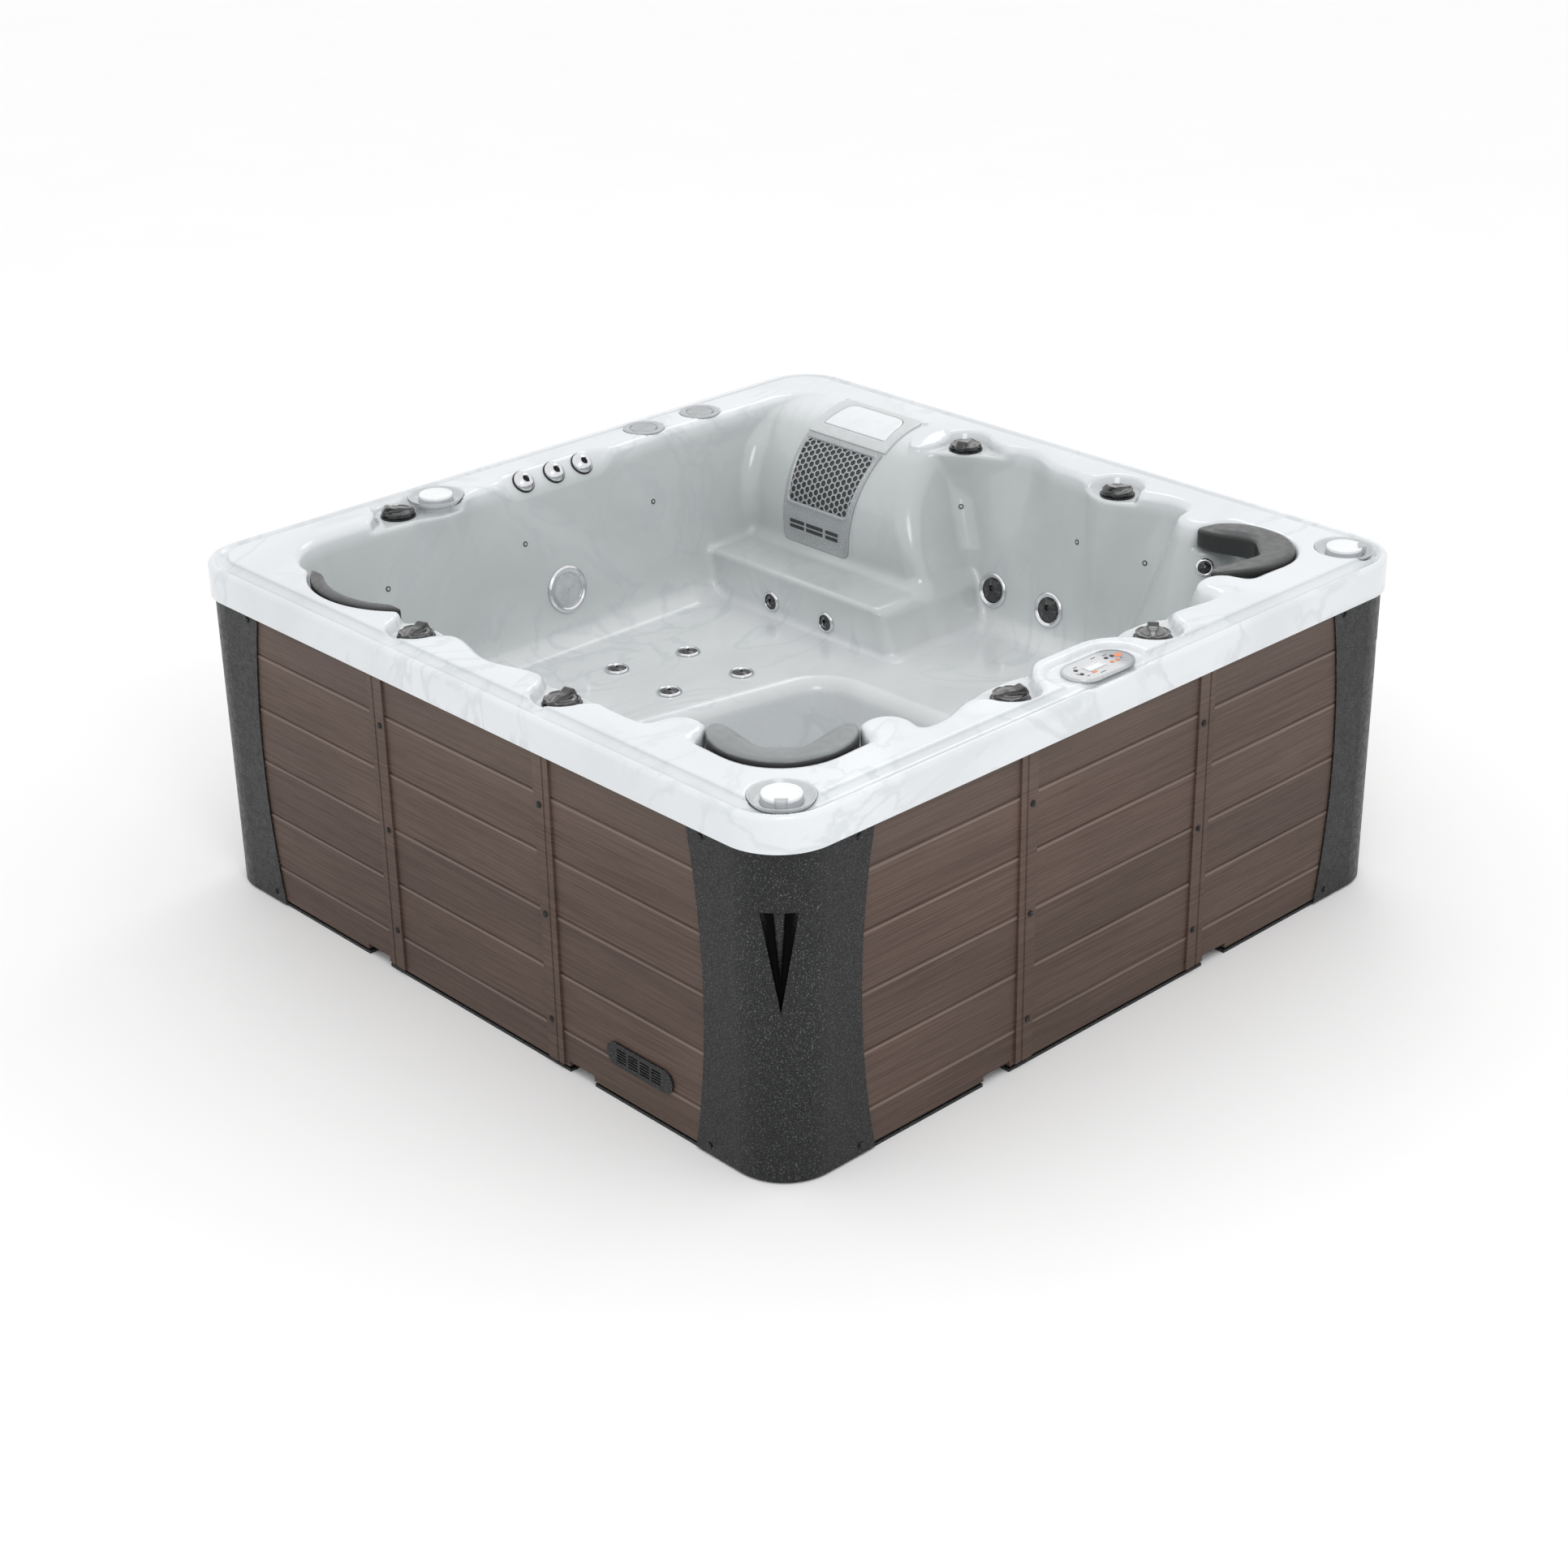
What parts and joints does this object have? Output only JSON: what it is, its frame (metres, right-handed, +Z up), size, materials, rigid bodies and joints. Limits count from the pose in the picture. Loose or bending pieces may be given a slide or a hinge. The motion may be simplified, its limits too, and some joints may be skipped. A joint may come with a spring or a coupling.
{
  "type": "hot tub",
  "caption": "Square self-contained hot tub with an open moulded basin, plank-pattern skirt, corner covers, corner filter with lid, deck knobs, jets, pop-up speakers and control panel.",
  "frame": {"origin": "on the floor, under the middle of the tub", "axes": "+Z up; -Y is the side with the control panel; -X is the side with the vent; the filter is in the +X +Y corner"},
  "size_m": [2.2, 2.2, 0.9226],
  "materials": {
    "acrylic": "gloss, faint marbling",
    "woodgrain": "wood-grain texture, satin",
    "trim_black": "fine leather texture",
    "timber": "raw",
    "chrome": "polished",
    "black_gloss": "gloss",
    "grey_plastic": "satin",
    "white_plastic": "satin",
    "clear": "prismatic",
    "screen": "gloss",
    "silver": "satin",
    "pillow": "soft moulded foam skin",
    "pipe": "smooth",
    "pump": "satin",
    "filter_media": "pleated"
  },
  "bodies": {
    "tub": {"acrylic_shell": "acrylic", "base_pan": "trim_black", "timber_frame": "timber", "skirt_front": "woodgrain", "skirt_left": "woodgrain", "skirt_rear": "woodgrain", "skirt_right": "woodgrain", "battens": "woodgrain", "skirt_screws": "trim_black", "corner_covers": "trim_black", "vent_grille": "trim_black", "filter_housing": "white_plastic", "filter_faceplate": "grey_plastic", "filter_grille": "grey_plastic", "filter_cartridge": "filter_media", "valve_bodies": "trim_black", "fountain_bodies": "trim_black", "jet_bodies": "chrome", "light_bezel": "chrome", "light_lenses": "clear", "speaker_grilles": "grey_plastic", "popup_cups": "grey_plastic", "panel_bezel": "silver", "panel_screen": "screen", "pillow_front_left": "pillow", "pillow_front_right": "pillow", "pillow_left": "pillow", "pumps": "pump", "control_box": "white_plastic", "plumbing": "pipe", "suction_covers": "white_plastic"},
    "filter_lid": {"filter_lid": "grey_plastic"},
    "weir_flap": {"weir_flap": "grey_plastic"},
    "knob_rear": {"knob_rear": "black_gloss"},
    "knob_left_1": {"knob_left_1": "black_gloss"},
    "knob_left_2": {"knob_left_2": "black_gloss"},
    "knob_front_1": {"knob_front_1": "black_gloss"},
    "knob_front_2": {"knob_front_2": "black_gloss"},
    "knob_right_1": {"knob_right_1": "black_gloss"},
    "knob_right_2": {"knob_right_2": "black_gloss"},
    "fountain_nozzle_1": {"fountain_nozzle_1": "chrome"},
    "fountain_nozzle_2": {"fountain_nozzle_2": "chrome"},
    "fountain_nozzle_3": {"fountain_nozzle_3": "chrome"},
    "seat_jet_1": {"seat_jet_1": "black_gloss"},
    "seat_jet_2": {"seat_jet_2": "black_gloss"},
    "seat_jet_3": {"seat_jet_3": "black_gloss"},
    "seat_jet_4": {"seat_jet_4": "black_gloss"},
    "riser_jet_1": {"riser_jet_1": "black_gloss"},
    "riser_jet_2": {"riser_jet_2": "black_gloss"},
    "wall_jet_1": {"wall_jet_1": "black_gloss"},
    "wall_jet_2": {"wall_jet_2": "black_gloss"},
    "popup_front_left": {"popup_front_left": "acrylic"},
    "popup_front_right": {"popup_front_right": "acrylic"},
    "popup_rear": {"popup_rear": "acrylic"},
    "button_1": {"button_1": "grey_plastic"},
    "button_2": {"button_2": "grey_plastic"},
    "button_3": {"button_3": "silver"},
    "button_4": {"button_4": "silver"},
    "button_5": {"button_5": "silver"},
    "button_6": {"button_6": "silver"}
  },
  "joints": [
    {"name": "knob_rear_turn", "type": "hinge", "parent": "tub", "child": "knob_rear", "pos_m": [-0.506, 0.995, 0.9], "axis": [0, 0, 1], "range_deg": [0, 180]},
    {"name": "knob_left_1_turn", "type": "hinge", "parent": "tub", "child": "knob_left_1", "pos_m": [-0.973, 0.289, 0.9], "axis": [0, 0, 1], "range_deg": [0, 180]},
    {"name": "knob_left_2_turn", "type": "hinge", "parent": "tub", "child": "knob_left_2", "pos_m": [-0.975, -0.262, 0.9], "axis": [0, 0, 1], "range_deg": [0, 180]},
    {"name": "knob_front_1_turn", "type": "hinge", "parent": "tub", "child": "knob_front_1", "pos_m": [-0.247, -0.965, 0.9], "axis": [0, 0, 1], "range_deg": [0, 180]},
    {"name": "knob_front_2_turn", "type": "hinge", "parent": "tub", "child": "knob_front_2", "pos_m": [0.249, -0.967, 0.9], "axis": [0, 0, 1], "range_deg": [0, 180]},
    {"name": "knob_right_1_turn", "type": "hinge", "parent": "tub", "child": "knob_right_1", "pos_m": [0.932, 0.279, 0.9], "axis": [0, 0, 1], "range_deg": [0, 180]},
    {"name": "knob_right_2_turn", "type": "hinge", "parent": "tub", "child": "knob_right_2", "pos_m": [0.943, -0.267, 0.9], "axis": [0, 0, 1], "range_deg": [0, 180]},
    {"name": "fountain_nozzle_1_turn", "type": "hinge", "parent": "tub", "child": "fountain_nozzle_1", "pos_m": [-0.117, 0.95, 0.89], "axis": [0, -0.7071, 0.7071], "range_deg": [0, 90]},
    {"name": "fountain_nozzle_2_turn", "type": "hinge", "parent": "tub", "child": "fountain_nozzle_2", "pos_m": [-0.01, 0.95, 0.89], "axis": [0, -0.7071, 0.7071], "range_deg": [0, 90]},
    {"name": "fountain_nozzle_3_turn", "type": "hinge", "parent": "tub", "child": "fountain_nozzle_3", "pos_m": [0.089, 0.95, 0.89], "axis": [0, -0.7071, 0.7071], "range_deg": [0, 90]},
    {"name": "seat_jet_1_turn", "type": "hinge", "parent": "tub", "child": "seat_jet_1", "pos_m": [-0.082, 0.627, 0.42], "axis": [0, 0, 1], "range_deg": [0, 120]},
    {"name": "seat_jet_2_turn", "type": "hinge", "parent": "tub", "child": "seat_jet_2", "pos_m": [0.134, 0.576, 0.42], "axis": [0, 0, 1], "range_deg": [0, 120]},
    {"name": "seat_jet_3_turn", "type": "hinge", "parent": "tub", "child": "seat_jet_3", "pos_m": [0.139, 0.363, 0.42], "axis": [0, 0, 1], "range_deg": [0, 120]},
    {"name": "seat_jet_4_turn", "type": "hinge", "parent": "tub", "child": "seat_jet_4", "pos_m": [-0.082, 0.409, 0.42], "axis": [0, 0, 1], "range_deg": [0, 120]},
    {"name": "riser_jet_1_turn", "type": "hinge", "parent": "tub", "child": "riser_jet_1", "pos_m": [0.48, 0.604, 0.464], "axis": [-1, 0, 0], "range_deg": [0, 120]},
    {"name": "riser_jet_2_turn", "type": "hinge", "parent": "tub", "child": "riser_jet_2", "pos_m": [0.48, 0.382, 0.464], "axis": [-1, 0, 0], "range_deg": [0, 120]},
    {"name": "wall_jet_1_turn", "type": "hinge", "parent": "tub", "child": "wall_jet_1", "pos_m": [0.8634, 0.104, 0.528], "axis": [-0.9833, 0, 0.1819], "range_deg": [0, 120]},
    {"name": "wall_jet_2_turn", "type": "hinge", "parent": "tub", "child": "wall_jet_2", "pos_m": [0.8634, -0.104, 0.528], "axis": [-0.9833, 0, 0.1819], "range_deg": [0, 120]},
    {"name": "filter_lid_turn", "type": "hinge", "parent": "tub", "child": "filter_lid", "pos_m": [0.9442, 0.605, 0.9186], "axis": [0, 1, 0], "range_deg": [0, 95]},
    {"name": "weir_flap_turn", "type": "hinge", "parent": "tub", "child": "weir_flap", "pos_m": [0.714, 0.605, 0.738], "axis": [0, -1, 0], "range_deg": [0, 35]},
    {"name": "popup_front_left_slide", "type": "slide", "parent": "tub", "child": "popup_front_left", "axis": [0, 0, 1], "range_m": [0, 0.055]},
    {"name": "popup_front_right_slide", "type": "slide", "parent": "tub", "child": "popup_front_right", "axis": [0, 0, 1], "range_m": [0, 0.055]},
    {"name": "popup_rear_slide", "type": "slide", "parent": "tub", "child": "popup_rear", "axis": [0, 0, 1], "range_m": [0, 0.055]},
    {"name": "button_1_slide", "type": "slide", "parent": "tub", "child": "button_1", "axis": [0, 0, -1], "range_m": [0, 0.0012], "stiffness_N_per_m": 400, "springref_m": -0.0005},
    {"name": "button_2_slide", "type": "slide", "parent": "tub", "child": "button_2", "axis": [0, 0, -1], "range_m": [0, 0.0012], "stiffness_N_per_m": 400, "springref_m": -0.0005},
    {"name": "button_3_slide", "type": "slide", "parent": "tub", "child": "button_3", "axis": [0, 0, -1], "range_m": [0, 0.0012], "stiffness_N_per_m": 400, "springref_m": -0.0005},
    {"name": "button_4_slide", "type": "slide", "parent": "tub", "child": "button_4", "axis": [0, 0, -1], "range_m": [0, 0.0012], "stiffness_N_per_m": 400, "springref_m": -0.0005},
    {"name": "button_5_slide", "type": "slide", "parent": "tub", "child": "button_5", "axis": [0, 0, -1], "range_m": [0, 0.0012], "stiffness_N_per_m": 400, "springref_m": -0.0005},
    {"name": "button_6_slide", "type": "slide", "parent": "tub", "child": "button_6", "axis": [0, 0, -1], "range_m": [0, 0.0012], "stiffness_N_per_m": 400, "springref_m": -0.0005}
  ]
}
